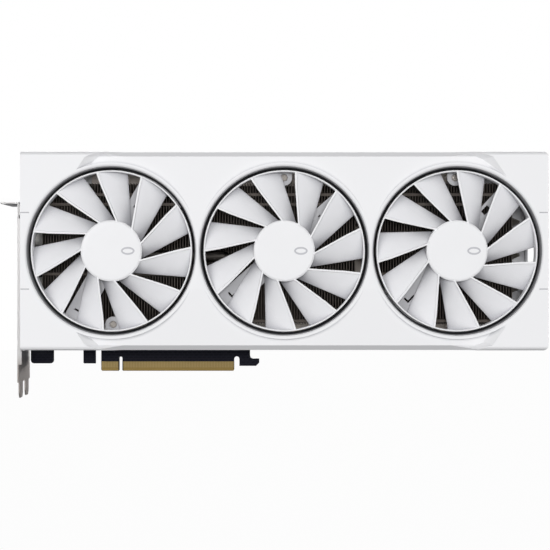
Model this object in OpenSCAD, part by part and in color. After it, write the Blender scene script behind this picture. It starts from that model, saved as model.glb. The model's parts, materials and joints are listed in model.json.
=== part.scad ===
// Triple-fan graphics card: a cooler with a plastic shroud over a circuit board with a slot bracket.
//
// Frame: the origin is the middle of the key notch, on the seating edge of the gold contacts,
// halfway through the board. +X runs away from the slot bracket, +Y runs from the fans towards
// the backplate and +Z runs away from the motherboard. All sizes are millimetres.

/* [Card] */
// Length of the shroud
card_l = 320; // [319:0.5:322]
// Height of the shroud
card_h = 120.6; // [120:0.1:121.5]
// Front face of the shroud ahead of the board's middle plane
front_depth = 50; // [49.6:0.1:51]
// Height of the shroud's lower edge above the seating edge
shroud_z = 15.6; // [15.4:0.1:15.8]

/* [Shroud] */
// Wall thickness of the shroud
wall = 2; // [1.6:0.1:2.2]
// Depth of the recessed face panels at their outer edge
recess = 3.4; // [1:0.1:3.5]
// Half-height of the flush band across the face
band_half = 23; // [20:0.5:24]
// Number of vent windows in each long side wall
side_vents = 8; // [6:1:9]

/* [Fans] */
// Distance between neighbouring fan axes
fan_pitch = 105; // [104.8:0.1:105.4]
// Radius of each opening in the shroud
opening_r = 51.3; // [51.2:0.05:51.4]
// Outer radius of the ring around the blades
rotor_r = 49.05; // [48.5:0.05:49.2]
// Outer radius of the hub
hub_r = 18.7; // [18.6:0.05:19.5]
// Blades on each rotor
blade_count = 11; // [7:1:13]
// Thickest point of a blade
blade_t = 1.1; // [0.8:0.1:1.4]
// Radius of each fan shaft
shaft_r = 1.5; // [1.4:0.05:1.6]
// Radial running clearance between shaft and bearing
shaft_gap = 0.03; // [0.02:0.01:0.06]

/* [Heatsink] */
// Distance from one fin to the next
fin_pitch = 1.7; // [1.6:0.1:2.4]
// Thickness of one fin
fin_t = 0.5; // [0.3:0.1:0.7]
// Radius of the heat pipes
pipe_r = 3; // [2.8:0.1:3]
// Distance from the board's key notch to the graphics chip
gpu_x = 70; // [68:1:74]

/* [Circuit board] */
// Board thickness
pcb_t = 1.6; // [1.5:0.05:1.65]
// Far end of the board
pcb_end = 205; // [203:1:210]
// Contacts on each side of the edge connector
long_contacts = 71; // [71:1:71]
// Contacts on each side of the short segment
short_contacts = 11; // [11:1:11]

/* [Bracket] */
// Height from the tongue tips to the underside of the screw tab
bracket_h = 120.02; // [120.02:0.01:120.02]
// Spacing of the expansion slots
slot_pitch = 20.32; // [20.32:0.01:20.32]
// Sheet thickness
bracket_t = 1; // [0.9:0.1:1.1]
// Width of the screw notches
notch_w = 4.42; // [4.3:0.01:4.6]

/* [Hidden] */
$fn = 96;

// colours
WHITE = [0.93, 0.93, 0.95];
FAN_WHITE = [0.9, 0.9, 0.92];
TRIM = [0.15, 0.15, 0.17];
NICKEL = [0.52, 0.49, 0.47];
STEEL = [0.45, 0.44, 0.43];
BOARD = [0.07, 0.07, 0.09];
GOLD = [0.6, 0.5, 0.28];
CHIP = [0.13, 0.13, 0.14];
PAD = [0.6, 0.62, 0.68];
COPPER = [0.72, 0.45, 0.3];
FIN = [0.2, 0.18, 0.16];

// shroud box
x0 = -55.7;
x1 = x0 + card_l;
z0 = shroud_z;
z1 = z0 + card_h;
y_front = -front_depth;
y_rim = 3;                       // rear edge of the shroud's side walls
side_y = -3;                     // rear edge of the lower wall, clear of the board
inner = y_front + wall;
seam_y = -43;                    // the front moulding ends here and the side walls begin
left_wall_y = -37;               // the left wall stops here, so air leaves by the bracket
vent_end_y = -12;                // the right wall is open behind this
lip_w = 2.2;                     // raised lip around each opening
mouth_w = 1.8;                   // the face rolls into each opening over this width
mouth_d = 1.1;
edge_r = 2.8;                    // rounding of the long front edges
face_r = 3;                      // rounded corners of the far end
seam_l = 5.5;                    // short seam grooves at both ends
seam_w = 0.7;
vent_l = 26;                     // length of one vent window

// fans
axis_z = 76;
fan_x = [for (i = [0:2]) 104.3 + (i - 1) * fan_pitch];
fan_phase = [101.2, 115.13, 90.5];    // where one leading tip stands at rest
ring_t = 1;
rotor_back = -39;
rotor_front = -47.2;
collar_back = -38;
frame_front = -37.9;
frame_back = -35.9;
arm_angle = [60.5, 41, 47];       // each frame is turned its own way
arm_w = 13.4;
ear_r = 45;                      // fan screws stand this far from the fan axis
ear_w = 9.6;
screw_r = 1.25;                  // shank radius of the machine screws
screw_head_r = 2.15;
screw_gap = 0.2;
trim_r = opening_r - 0.05;
trim_t = 0.35;
flange_r = 49.7;                 // inner edge of the sleeve's flange
stator_r = 14.2;
magnet_r = 15;
tube_r = 5;                      // post that carries the bearing
bearing_r = 3.5;

// blade edges, as straight lines in the fan's face: polar angle against radius
root_r = hub_r - 0.8;
tip_r = rotor_r - ring_t / 2;
kink_r = 39.7;
lead_slant = 31.7;
tip_slant = 11.1;
trail_start = -29.1;
trail_slant = 39.5;
blade_stations = [root_r, 21.5, 25.5, 30, 35, kink_r, 44, tip_r];
chord_steps = [0, 0.12, 0.35, 0.6, 0.85, 1];
lead_y = -47.3;
trail_y = -39.5;

// stack behind the fans
fin_y0 = -33;
fin_y1 = -12.1;
fin_z0 = 31;
fin_z1 = 118;
fin_root = 0.6;
stack_x = [[-45, 48], [51, 150], [153, 246]];
pipe_y = fin_y1 + pipe_r;
pipe_z = [for (i = [0:4]) 53 + i * 10.5];
cold_t = pipe_y + pipe_r;        // front face of the cold plate
chip_top = -3.1;                 // rear face of the cold plate
gpu_z = 72;
cold_x = [gpu_x - 44, gpu_x + 44];
cold_z = [36, 114];
mid_y = [-5.5, -4.3];
mid_x = [-18, 200];
mid_z = [23.4, 128];

// board and the pieces on it
face_y = -pcb_t / 2;
rear_y = pcb_t / 2;
pcb_top = 118;
pcb_low = 13.5;
pcb_start = -57.7;
key_half = 0.95;
memory_at = [for (sx = [-34, 34]) for (k = [-1:1]) [gpu_x + sx, gpu_z + k * 18],
    for (sx = [-11, 11]) [gpu_x + sx, gpu_z + 36]];
memory_size = [12, 14];
choke_x = [14, 128];
stage_x = [4, 138];
phase_z = [for (k = [0:6]) 40 + k * 9.5];
plug_x = [152, 176];
plug_w = 18.6;
plug_z = [108, 124];
spring_pitch = 50;
gpu_holes = [for (a = [-1, 1]) for (b = [-1, 1]) [gpu_x + a * spring_pitch / 2,
    gpu_z + b * spring_pitch / 2]];
board_holes = [[-10, 26], [-10, 112], [120, 24], [132, 112], [196, 26], [196, 100]];
boss_r = 3;
boss_y = -8;
shroud_bosses = [for (x = [-40, 51.8, 140, 250]) for (z = [z0 + 4.6, z1 - 4.6]) [x, z]];
plate_y = [3.2, 4.7];
plate_end = 260.3;

// bracket
bracket_x = -60;
bracket_y = [-35.5, 3.2];
tip_z = -14.8;
tab_top = tip_z + bracket_h + bracket_t;
tongue_w = 10.2;
tongue_y = [for (i = [0:1]) -6 - i * slot_pitch];
tab_out = 11.43;
port_y = [-7.4, face_y];
hdmi_z = [25.5, 40.5];
dp_z = [for (i = [0:2]) [43 + i * 18.5, 60 + i * 18.5]];
foot_x = -51;                    // feet that tie the bracket to the board
foot_z = [20.6, 101.8];

// ---------- helpers ----------

// a box from its two corners
module block(x, y, z) {
    translate([x[0], y[0], z[0]]) cube([x[1] - x[0], y[1] - y[0], z[1] - z[0]]);
}

// a cylinder along Y at a place in the XZ plane
module peg(at, r, y) {
    translate([at[0], y[0], at[1]]) rotate([-90, 0, 0]) cylinder(r = r, h = y[1] - y[0]);
}

// a tube along Y
module pipe(at, r_in, r_out, y) {
    difference() {
        peg(at, r_out, y);
        peg(at, r_in, [y[0] - 1, y[1] + 1]);
    }
}

// an outline in the XZ plane, extruded along Y
module slab(points, y) {
    translate([0, y[1], 0]) rotate([90, 0, 0]) linear_extrude(height = y[1] - y[0]) polygon(points);
}

// an outline in the YZ plane, extruded along X
module along_x(points, x) {
    translate([x[0], 0, 0]) rotate([90, 0, 90]) linear_extrude(height = x[1] - x[0]) polygon(points);
}

// a profile of radius and Y, turned about a fan axis
module turned(at, profile) {
    translate([at[0], 0, at[1]]) rotate([-90, 0, 0]) rotate_extrude() polygon(profile);
}

// a screw along Y: its head is at y_head and its shank points along dir
module screw(at, y_head, dir, length, head_h = 1) {
    head = dir > 0 ? [y_head - head_h, y_head] : [y_head, y_head + head_h];
    shank = dir > 0 ? [y_head, y_head + length] : [y_head - length, y_head];
    mouth = dir > 0 ? y_head - head_h - 0.1 : y_head + head_h - 0.5;
    difference() {
        union() {
            peg(at, screw_head_r, head);
            peg(at, screw_r, shank);
        }
        for (a = [0, 90])
            translate([at[0], mouth, at[1]]) rotate([0, a, 0]) translate([-1.2, 0, -0.25]) cube([2.4, 0.6,
                0.5]);
    }
}

function fan_at(i) = [fan_x[i], axis_z];
function polar(at, r, a) = [at[0] + r * cos(a), at[1] + r * sin(a)];
function mirrored_z(z) = 2 * axis_z - z;
function inset(y) = [y[0] + 0.05, y[1] - 0.05];    // keeps a spoke's faces off those it joins

// ---------- shroud ----------

// outlines of the recessed panel: where it leaves the face, and where it meets its floor
recess_rim = [[-21.9, 124.9], [-16.8, 132.5], [-11.7, 135.5], [-8, z1 + 0.5], [222, z1 + 0.5],
    [224, 135.5], [230.8, 133], [238.8, 121.5]];
recess_floor = [[-12.6, 129.6], [-8.3, 133.4], [220.6, 133.4], [224.8, 131.7], [229.5, 126.2]];
seam_z = axis_z + band_half + 0.2;
bevel_z = 133.4;
bevel_y = y_front + recess;
bevel_d = 3.4;                   // how far the bevel falls back
function floor_y(z) = y_front + recess * (z - seam_z) / (bevel_z - seam_z);

// upper recessed panel with its sloping ends
module recess_cut() {
    hull() {
        slab(concat(recess_rim, [[238.8, seam_z], [-21.9, seam_z]]), [y_front - 1, y_front]);
        for (p = concat(recess_floor, [[229.5, seam_z + 1], [-12.6, seam_z + 1]]))
            translate([p[0], floor_y(p[1]), p[1]]) rotate([90, 0, 0]) cylinder(r = 0.05, h = 0.5, $fn = 4);
    }
    // bevel along the outer edge, which fades out at both ends
    hull() {
        along_x([[y_front - 1, bevel_z], [bevel_y, bevel_z], [bevel_y + bevel_d, z1 + 0.2], [y_front - 1,
            z1 + 0.2]], [6, 206]);
        along_x([[y_front - 1, z1 - 0.1], [y_front, z1 - 0.1], [y_front, z1 + 0.2], [y_front - 1,
            z1 + 0.2]], [-12, 226]);
    }
}

module both_panels() {
    children();
    translate([0, 0, 2 * axis_z]) mirror([0, 0, 1]) children();
}

// front moulding: the face, its recessed panels and the start of the side walls
module shroud() {
    color(WHITE) difference() {
        union() {
            difference() {
                shroud_outline([y_front, seam_y]);
                // hollow, which follows the recessed panels
                difference() {
                    block([x0 + wall, x1 - wall], [inner, seam_y + 1], [z0 + wall, z1 - wall]);
                    both_panels() along_x([[inner - 1, seam_z], [inner, seam_z],
                        [bevel_y + wall, bevel_z], [bevel_y + wall + bevel_d, z1], [inner - 1, z1]], [-24,
                            242]);
                }
                difference() {
                    both_panels() recess_cut();
                    for (i = [0:2]) peg(fan_at(i), opening_r + lip_w, [y_front - 2, 0]);
                }
            }
            // rims that the collars stand on
            for (i = [0:2]) peg(fan_at(i), opening_r + wall, [y_front, seam_y]);
        }
        // openings with a rounded mouth
        for (i = [0:2]) turned(fan_at(i), concat([[0, y_front - 1], [opening_r + mouth_w, y_front - 1]],
            [for (a = [0:15:90]) [opening_r + mouth_w * (1 - sin(a)), y_front + mouth_d * (1 - cos(a))]],
            [[opening_r, seam_y + 1], [0, seam_y + 1]]));
        // rounded lower and upper edges
        round_edge();
        translate([0, 0, z0 + z1]) mirror([0, 0, 1]) round_edge();
        // short seam grooves at both ends of the face
        for (z = [seam_z, mirrored_z(seam_z)]) for (x = [x0 - 1, x1 - seam_l])
            block([x, x + seam_l + 1], [y_front - 1, y_front + 0.8], [z - seam_w / 2, z + seam_w / 2]);
    }
}

// waste along the lower front edge
module round_edge() {
    along_x(concat([[y_front - 1, z0 + edge_r], [y_front, z0 + edge_r]],
        [for (a = [15:15:75]) [y_front + edge_r - edge_r * cos(a), z0 + edge_r - edge_r * sin(a)]],
        [[y_front + edge_r, z0], [y_front + edge_r, z0 - 1], [y_front - 1, z0 - 1]]), [x0 - 1, x1 + 1]);
}

// collars that guide the air around the rotors
module fan_collars() {
    color(WHITE) intersection() {
        for (i = [0:2]) pipe(fan_at(i), opening_r, opening_r + wall, [seam_y, collar_back]);
        block([x0 + wall, x1 - wall], [seam_y - 1, collar_back + 1], [z0, z1]);
    }
}

// rear moulding: the four side walls with their vents, and the bosses for the rear screws
module shroud_sides() {
    vent_step = (card_l - 60) / side_vents;
    plug_gap = [plug_x[0] - 5, plug_x[1] + plug_w + 5];
    color(WHITE) difference() {
        union() {
            difference() {
                shroud_outline([seam_y, y_rim]);
                block([x0 + wall, x1 - wall], [seam_y - 1, y_rim + 1], [z0 + wall, z1 - wall]);
            }
            for (p = shroud_bosses) peg(p, boss_r, [boss_y, p[1] < axis_z ? face_y : y_rim]);
        }
        for (p = shroud_bosses) peg(p, screw_r, [boss_y + 1.5, y_rim + 1]);
        // open ends: the bracket end for the air, the far end behind the fins
        block([x0 - 1, x0 + wall + 0.01], [left_wall_y, y_rim + 1], [z0 - 1, z1 - 8]);
        block([x1 - wall - 0.01, x1 + 1], [vent_end_y, y_rim + 1], [z0 + 14, z1 - 14]);
        block([x0 - 1, x1 + 1], [side_y, y_rim + 1], [z0 - 1, z0 + wall + 0.01]);
        // vent windows in the lower wall, and in the upper wall beside the plugs
        for (k = [0:side_vents - 1]) {
            x = x0 + 32 + k * vent_step;
            block([x, x + vent_l], [-33, -9], [z0 - 1, z0 + wall + 0.01]);
            if (x + vent_l < plug_gap[0] || x > plug_gap[1])
                block([x, x + vent_l], [-33, -16.5], [z1 - wall - 0.01, z1 + 1]);
        }
        // opening for the power plugs
        block(plug_gap, [-16.5, y_rim + 1], [z1 - 6, z1 + 1]);
    }
}

// outline of the shroud, with rounded corners at the far end
module shroud_outline(y) {
    block([x0, x1 - face_r], y, [z0, z1]);
    block([x1 - face_r - 1, x1], y, [z0 + face_r, z1 - face_r]);
    for (z = [z0 + face_r, z1 - face_r]) peg([x1 - face_r, z], face_r, y);
}

// dark sleeves in the three openings, each with a flange that closes the gap behind the rotor
module trim_rings() {
    color(TRIM) for (i = [0:2])
        turned(fan_at(i), [[trim_r - trim_t, y_front + 0.9], [trim_r, y_front + 0.9], [trim_r, collar_back],
            [flange_r, collar_back], [flange_r, collar_back - 0.8], [trim_r - trim_t, collar_back - 0.8]]);
}

// ---------- fans ----------

// a fan's fixed part: motor plate, two arms, rim and two screw ears
module fan_frame(i) {
    c = fan_at(i);
    y = [frame_front, frame_back];
    color(FAN_WHITE) difference() {
        union() {
            peg(c, root_r, y);
            peg(c, tube_r, [-44, frame_back]);
            pipe(c, rotor_r + 1.25, 52.3, y);
            for (a = [arm_angle[i], arm_angle[i] + 180])
                arm_block(c, a, [root_r - 3, 51], [-arm_w / 2, arm_w / 2], inset(y));
            for (a = [90, 270]) {
                arm_block(c, a, [ear_r, 51], [-ear_w / 2, ear_w / 2], y);
                peg(polar(c, ear_r, a), ear_w / 2, y);
                translate([c[0], 0, c[1]]) rotate([0, -a + 19, 0]) rotate([-90, 0, 0])
                    rotate_extrude(angle = 38) polygon([[48.9, y[0]], [51, y[0]], [51, y[1]], [48.9,
                        y[1]]]);
            }
        }
        peg(c, bearing_r + 0.05, [-45, frame_back - 0.5]);
        for (a = [90, 270]) {
            peg(polar(c, ear_r, a), screw_r + screw_gap, [frame_front - 1, frame_back + 1]);
            peg(polar(c, ear_r, a), screw_head_r + screw_gap, [frame_front - 1, frame_front + 0.8]);
        }
        // cable channel behind the upper arm, and the slots around the clip on the lower one
        arm_block(c, arm_angle[i], [root_r + 2, 53], [-1.6, 1.6], [frame_back - 1, frame_back + 1]);
        arm_block(c, arm_angle[i], i == 2 ? [28.6, 34] : [29.6, 31.2], [1.7, i == 2 ? 5 : 2.6],
            [frame_front - 1, frame_back + 1]);
        for (slot = [[[37, 42.4], [-0.5, 0.6]], [[41.8, 43], [-3.2, 0.7]]])
            arm_block(c, arm_angle[i] + 180, slot[0], slot[1], [frame_front - 1, frame_back + 1]);
    }
}

// a box along a spoke direction: r along the spoke, s across it
module arm_block(c, a, r, s, y) {
    translate([c[0], 0, c[1]]) rotate([0, -a, 0]) block(r, y, s);
}

module stator(i) {
    c = fan_at(i);
    y = [-44, -38.4];
    color(COPPER) difference() {
        union() {
            pipe(c, tube_r + 0.05, 7, y);
            for (k = [0:3]) {
                a = k * 90 + 20;
                arm_block(c, a, [6.5, 12], [-3.2, 3.2], [-43.4, -39]);
                arm_block(c, a, [11.5, stator_r - 0.6], [-5.6, 5.6], y);
            }
        }
        pipe(c, stator_r, 20, [-46, -37]);
    }
}

module bearing(i) {
    color(STEEL) pipe(fan_at(i), shaft_r + shaft_gap, bearing_r, [-43.8, frame_back - 0.6]);
}

// polar angle of the blade's two edges at radius r, measured from the leading edge's root
function straight(r, r_start, slant) = slant - asin(r_start * sin(slant) / r);
function lead_angle(r) = r <= kink_r ? straight(r, hub_r - 0.3, lead_slant)
    : straight(kink_r, hub_r - 0.3, lead_slant) + straight(r, kink_r, tip_slant);
function trail_angle(r) = trail_start + straight(r, hub_r - 0.3, trail_slant);

// a point on the blade: s runs along the chord, side is -1 in front and 1 behind
function blade_point(r, s, side) =
    let (wide = (lead_angle(r) - trail_angle(r)) * PI / 180,
        y_lead = lead_y + 0.5 * (r - root_r) / (tip_r - root_r),
        rise = trail_y - y_lead,
        y = y_lead + rise * (0.72 * s + 0.28 * s * s),
        slope = [-wide * r, rise * (0.72 + 0.56 * s)],
        half = blade_t / 2 * (s < 0.1 ? 0.82 : 1 - 0.45 * (s - 0.12)),
        off = side * half / norm(slope),
        a = lead_angle(r) - s * (lead_angle(r) - trail_angle(r)) + off * slope[1] / r * 180 / PI,
        y_off = y - off * slope[0])
    [r * cos(a), y_off, r * sin(a)];

module blade() {
    n = len(chord_steps);
    m = 2 * n;
    loop = [for (r = blade_stations) concat([for (s = chord_steps) blade_point(r, s, -1)],
        [for (k = [n - 1:-1:0]) blade_point(r, chord_steps[k], 1)])];
    points = [for (l = loop) for (p = l) p];
    last = (len(blade_stations) - 1) * m;
    sides = [for (j = [0:len(blade_stations) - 2]) for (k = [0:m - 1])
        let (a = j * m + k, b = j * m + (k + 1) % m) for (t = [[a, b + m, b], [a, a + m, b + m]]) t];
    root = [for (k = [0:n - 2]) for (t = [[k, k + 1, m - 2 - k], [k, m - 2 - k, m - 1 - k]]) t];
    tip = [for (t = root) [t[0] + last, t[2] + last, t[1] + last]];
    polyhedron(points, concat(sides, root, tip));
}

// hub cup, blades and outer ring in one moulding
module rotor(i) {
    c = fan_at(i);
    color(WHITE) union() {
        turned(c, [[0, -47.2], [17.95, -47.2], [17.95, -48.05], [18.3, -48.05], [hub_r, -47.5],
            [hub_r, -38.8], [17.4, -38.8], [17.4, -46], [3.4, -46], [3.4, -44.4], [shaft_r, -44.4],
            [shaft_r, -46.2], [0, -46.2]]);
        turned(c, [[rotor_r - ring_t, rotor_front + 0.4], [rotor_r - ring_t + 0.3, rotor_front],
            [rotor_r - 0.3, rotor_front], [rotor_r, rotor_front + 0.4], [rotor_r, rotor_back],
            [rotor_r - ring_t, rotor_back]]);
        for (k = [0:blade_count - 1])
            translate([c[0], 0, c[1]]) rotate([0,
                -fan_phase[i] + lead_angle(tip_r) - k * 360 / blade_count, 0]) blade();
    }
}

module magnet(i) {
    color(CHIP) pipe(fan_at(i), magnet_r, 17.35, [-45.5, -39.2]);
}

module shaft(i) {
    color(STEEL) peg(fan_at(i), shaft_r, [-46.2, frame_back - 0.9]);
}

// cap on the hub, with a plain ring inlaid near its edge
module hub_cap(i) {
    c = fan_at(i);
    color(WHITE) turned(c, [[0, -48.5], [17.3, -48.5], [17.9, -48.1], [17.9, -47.25], [0, -47.25]]);
}

module fan_screws() {
    color(NICKEL) for (i = [0:2]) for (a = [90, 270])
        screw(polar(fan_at(i), ear_r, a), frame_front + 0.8, 1, 8);
}

// ---------- heatsink ----------

module fin_stack(i) {
    x = stack_x[i];
    count = floor((x[1] - x[0] - fin_t) / fin_pitch);
    teeth = [for (k = [0:count]) let (a = x[0] + k * fin_pitch)
        for (p = [[a, fin_y1 - fin_root], [a, fin_y0], [a + fin_t, fin_y0], [a + fin_t,
            fin_y1 - fin_root]]) p];
    end = x[0] + count * fin_pitch + fin_t;
    color(FIN) difference() {
        translate([0, 0, fin_z0]) linear_extrude(height = fin_z1 - fin_z0)
            polygon(concat([[end, fin_y1], [x[0], fin_y1]], teeth));
        peg([fan_x[i], axis_z - ear_r], 3.4, [fin_y0 - 1, fin_y1 + 1]);
        block([11, 73], [fin_y0 - 1, fin_y0 + 7.2], [69.2, 76.8]);
    }
}

// a heat pipe along X, with pinched ends
module heat_pipe(x, y, z, r) {
    tip = 5;
    translate([x[0] + tip, y, z]) rotate([0, 90, 0]) cylinder(r = r, h = x[1] - x[0] - 2 * tip);
    translate([x[0], y, z]) rotate([0, 90, 0]) cylinder(r1 = 0.8, r2 = r, h = tip);
    translate([x[1] - tip, y, z]) rotate([0, 90, 0]) cylinder(r1 = r, r2 = 0.8, h = tip);
}

module heat_pipes() {
    color(NICKEL) for (k = [0:4]) {
        x = k % 2 == 0 ? [cold_x[0] + 4, 253.8] : [-44, cold_x[1] - 4];
        heat_pipe(x, pipe_y, pipe_z[k], pipe_r);
    }
}

module front_heat_pipe() {
    color(NICKEL) heat_pipe([12, 72], fin_y0 + 3.6, 73, 3.25);
}

module cold_plate() {
    color(COPPER) difference() {
        block(cold_x, [cold_t, chip_top], cold_z);
        for (p = gpu_holes) peg(p, 1.5, [cold_t - 1, chip_top + 1]);
    }
}

// plate in front of the board, with the posts that carry the fans
module mid_frame() {
    color(NICKEL) difference() {
        union() {
            block(mid_x, mid_y, mid_z);
            for (i = [0:2]) for (a = [90, 270])
                peg(polar(fan_at(i), ear_r, a), 2.8, [frame_back, mid_y[1]]);
            for (p = board_holes) peg(p, 2.6, [mid_y[0], face_y]);
            // far end of both rails, which carry the last pair of posts
            for (z = [[mid_z[0], fin_z0 + 3], [fin_z1, mid_z[1]]]) block([mid_x[1] - 1, 216], mid_y, z);
        }
        block([cold_x[0] - 2, cold_x[1] + 2], [mid_y[0] - 1, mid_y[1] + 1], [cold_z[0] - 2, cold_z[1] + 2]);
        block([plug_x[0] - 4, plug_x[1] + plug_w + 0.7], [mid_y[0] - 1, mid_y[1] + 1], [104, mid_z[1] + 1]);
        for (p = board_holes) peg(p, screw_r, [mid_y[0] - 1, face_y + 1]);
        for (i = [0:2]) for (a = [90, 270])
            peg(polar(fan_at(i), ear_r, a), screw_r, [frame_back - 1, frame_back + 10]);
    }
}

// ---------- circuit board ----------

module pcb() {
    hook = [[75.9, 7.6], [75.9, 3.15], [86.6, 3.15], [88.6, 5.15], [88.6, 7.95], [84.5, 7.95], [83.2,
        8.5], [82.7, 9.8],
        [82.7, pcb_low]];
    slot_r = 1.65;               // half the slot between the contacts and the hook
    tab_r = 2;                   // rounded corners of the tab beside the bracket
    color(BOARD) difference() {
        slab(concat([[pcb_start, pcb_top]],
            [for (a = [180:30:270]) [pcb_start + tab_r + tab_r * cos(a), 4.75 + tab_r + tab_r * sin(a)]],
            [for (a = [270:30:360]) [-43 - tab_r + tab_r * cos(a), 4.75 + tab_r + tab_r * sin(a)]],
            [[-43, pcb_low], [-24, pcb_low], [-24, 5.2], [-23.5, 4.7], [-16.1, 4.7], [-16.1, 14.6],
                [-12.6, 14.6],
            [-12.6, 0.8], [-11.8, 0], [-key_half - 0.5, 0], [-key_half, 0.5], [-key_half, 8.15]],
            [for (a = [165:-15:15]) [key_half * cos(a), 8.15 + key_half * sin(a)]],
            [[key_half, 8.15], [key_half, 0.5], [key_half + 0.5, 0], [71.8, 0], [72.6, 0.8], [72.6, 7.6]],
            [for (a = [150:-30:30]) [72.6 + slot_r + slot_r * cos(a), 7.6 + slot_r * sin(a)]],
            hook, [[pcb_end, pcb_low], [pcb_end, pcb_top]]), [face_y, rear_y]);
        for (p = board_holes) peg(p, 1.5, [face_y - 1, rear_y + 1]);
        for (p = gpu_holes) peg(p, 1.6, [face_y - 1, rear_y + 1]);
        for (z = foot_z) peg([foot_x, z], 1.5, [face_y - 1, rear_y + 1]);
        for (p = shroud_bosses) if (p[1] < axis_z) peg(p, 1.5, [face_y - 1, rear_y + 1]);
    }
}

// gold pads on both faces of both segments
module edge_contacts() {
    pad_w = 0.7;
    pad_t = 0.05;
    pad_z = [0.5, 6];
    color(GOLD) for (y = [face_y - pad_t, rear_y]) {
        for (k = [0:long_contacts - 1]) block([1.6 + k, 1.6 + k + pad_w], [y, y + pad_t], pad_z);
        for (k = [0:short_contacts - 1]) block([-2.3 - k, -2.3 - k + pad_w], [y, y + pad_t], pad_z);
    }
}

module gpu_package() {
    color([0.1, 0.2, 0.16]) block([gpu_x - 20, gpu_x + 20], [face_y - 1.4, face_y], [gpu_z - 20,
        gpu_z + 20]);
}

module gpu_die() {
    color([0.3, 0.31, 0.34]) block([gpu_x - 10, gpu_x + 10], [face_y - 2.2, face_y - 1.4], [gpu_z - 9,
        gpu_z + 9]);
}

module thermal_paste() {
    color([0.7, 0.7, 0.7]) block([gpu_x - 10, gpu_x + 10], [chip_top, face_y - 2.2], [gpu_z - 9,
        gpu_z + 9]);
}

module memory_blocks(y) {
    for (p = memory_at)
        block([p[0] - memory_size[0] / 2, p[0] + memory_size[0] / 2], y,
            [p[1] - memory_size[1] / 2, p[1] + memory_size[1] / 2]);
}

module memory_chips() {
    color(CHIP) memory_blocks([face_y - 1.2, face_y]);
}

module memory_pads() {
    color(PAD) memory_blocks([chip_top, face_y - 1.2]);
}

module phase_blocks(xs, size, y) {
    for (x = xs) for (z = phase_z) block([x - size[0] / 2, x + size[0] / 2], y, [z - size[1] / 2,
        z + size[1] / 2]);
}

module chokes() {
    color([0.25, 0.25, 0.26]) phase_blocks(choke_x, [7, 7.6], [face_y - 3, face_y]);
}

module power_stages() {
    color(CHIP) phase_blocks(stage_x, [6, 5], [face_y - 0.8, face_y]);
}

module power_stage_pads() {
    color(PAD) phase_blocks(stage_x, [6, 5], [mid_y[1], face_y - 0.8]);
}

module capacitors() {
    color([0.7, 0.7, 0.72]) for (x = [-8, 148]) for (z = phase_z)
        if (z < 100) peg([x, z], 2.8, [face_y - 3.2, face_y]);
}

module power_connectors() {
    pitch = 4.2;
    cell = 3.5;
    color(CHIP) for (x = plug_x) difference() {
        union() {
            block([x, x + plug_w], [-11.2, face_y], plug_z);
            // catch for the plug's latch
            block([x + 6.8, x + 11.8], [-11.7, -11.1], [plug_z[1] - 8, plug_z[1] - 5.5]);
        }
        for (k = [0:3]) for (r = [0, 1]) {
            a = x + plug_w / 2 + (k - 1.5) * pitch;
            b = -6 + (r - 0.5) * pitch;
            block([a - cell / 2, a + cell / 2], [b - cell / 2, b + cell / 2], [plug_z[0] + 4,
                plug_z[1] + 1]);
        }
    }
}

module power_pins() {
    color(GOLD) for (x = plug_x) for (k = [0:3]) for (r = [0, 1]) {
        a = x + plug_w / 2 + (k - 1.5) * 4.2;
        b = -6 + (r - 0.5) * 4.2;
        block([a - 0.6, a + 0.6], [b - 0.6, b + 0.6], [plug_z[0] + 4, plug_z[1] - 3]);
    }
}

module fan_header() {
    color(CHIP) difference() {
        block([-34, -22], [face_y - 5, face_y], [108, 114]);
        block([-33, -23], [face_y - 6, face_y - 1.5], [109, 113]);
    }
}

// leads of the three fans, laced into one loom that runs above the fins to the header
module fan_cables() {
    r = 1.1;
    y = fin_y0 - 1.5;
    top = mid_z[1] - 2.6;
    header_x = -28;
    header_z = 111;
    drop_y = -9.5;
    join = [for (i = [0:2]) [fan_x[i] + (top - axis_z) / tan(arm_angle[i]), y, top]];
    loom = [join[2], [header_x, y, top], [header_x, drop_y, top], [header_x, drop_y, header_z],
        [header_x, face_y - 3, header_z]];
    color(CHIP) {
        for (k = [0:len(loom) - 2]) lead(loom[k], loom[k + 1], r);
        for (p = loom) translate(p) sphere(r = r + 0.12);
        for (i = [0:2]) {
            a = polar(fan_at(i), 22, arm_angle[i]);
            lead([a[0], y, a[1]], join[i], r - 0.1);
        }
    }
}

// a round cable between two points
module lead(a, b, r) {
    d = b - a;
    translate(a) rotate([0, acos(d[2] / norm(d)), atan2(d[1], d[0])]) cylinder(r = r, h = norm(d));
}

// ---------- rear of the board ----------

module spring_plate() {
    y = [1.4, 2.4];
    reach = spring_pitch / sqrt(2);
    color(STEEL) difference() {
        union() {
            peg([gpu_x, gpu_z], 17, y);
            for (a = [45, 135]) arm_block([gpu_x, gpu_z], a, [-reach, reach], [-3.5, 3.5], inset(y));
            for (p = gpu_holes) {
                peg(p, 4, y);
                peg(p, 3, [rear_y, y[0] + 0.1]);
            }
        }
        for (p = gpu_holes) peg(p, 1.5, [rear_y - 1, y[1] + 1]);
    }
}

module spring_screws() {
    color(NICKEL) for (p = gpu_holes) screw(p, 2.4, -1, 8, 1.6);
}

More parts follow.
